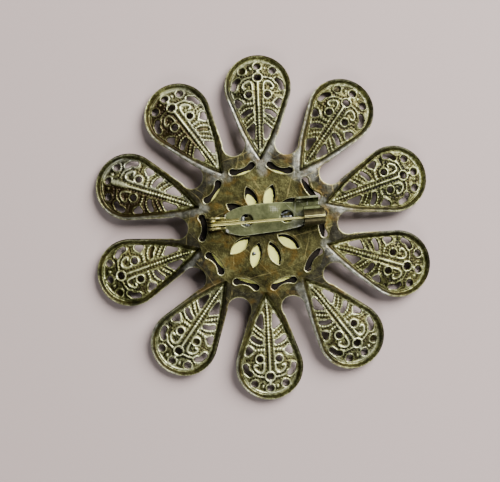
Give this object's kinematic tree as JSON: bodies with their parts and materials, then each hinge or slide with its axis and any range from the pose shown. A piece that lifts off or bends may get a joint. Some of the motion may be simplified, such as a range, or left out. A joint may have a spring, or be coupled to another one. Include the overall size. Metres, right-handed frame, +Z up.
{
  "type": "flower brooch",
  "caption": "Pierced flower brooch with teardrop petals round a disc, lying face down, with a hinged bar pin and a turning catch on its back.",
  "frame": {"origin": "centre of the flower on the surface that it lies on, face down", "axes": "+Z up, out of the brooch's back; +X to the picture's right, roughly from the pin's hinge to its catch; +Y to the picture's top"},
  "size_m": [0.0582, 0.06, 0.0071],
  "materials": {
    "flower_plate": "antique bronze, dark in the recesses and bright on the raised work",
    "front_disc": "plain cream",
    "clasp_base": "dull olive antique brass",
    "clasp_wire": "pale bright brass",
    "catch_barrel": "smooth antique brass"
  },
  "bodies": {
    "brooch": {"flower_plate": "flower_plate", "front_disc": "front_disc", "clasp_base": "clasp_base", "hinge_rivet": "clasp_wire", "spring_tail": "clasp_wire"},
    "pin": {"pin_wire": "clasp_wire"},
    "barrel": {"catch_barrel": "catch_barrel"}
  },
  "joints": [
    {"name": "pin_swing", "type": "hinge", "parent": "brooch", "child": "pin", "pos_m": [-0.00875, -0.00001, 0.00503], "axis": [0.0845, -0.9964, 0], "range_deg": [0, 75]},
    {"name": "barrel_turn", "type": "hinge", "parent": "brooch", "child": "barrel", "pos_m": [0.00869, 0.00147, 0.00563], "axis": [0.9964, 0.0845, 0], "range_deg": [0, 100]}
  ]
}
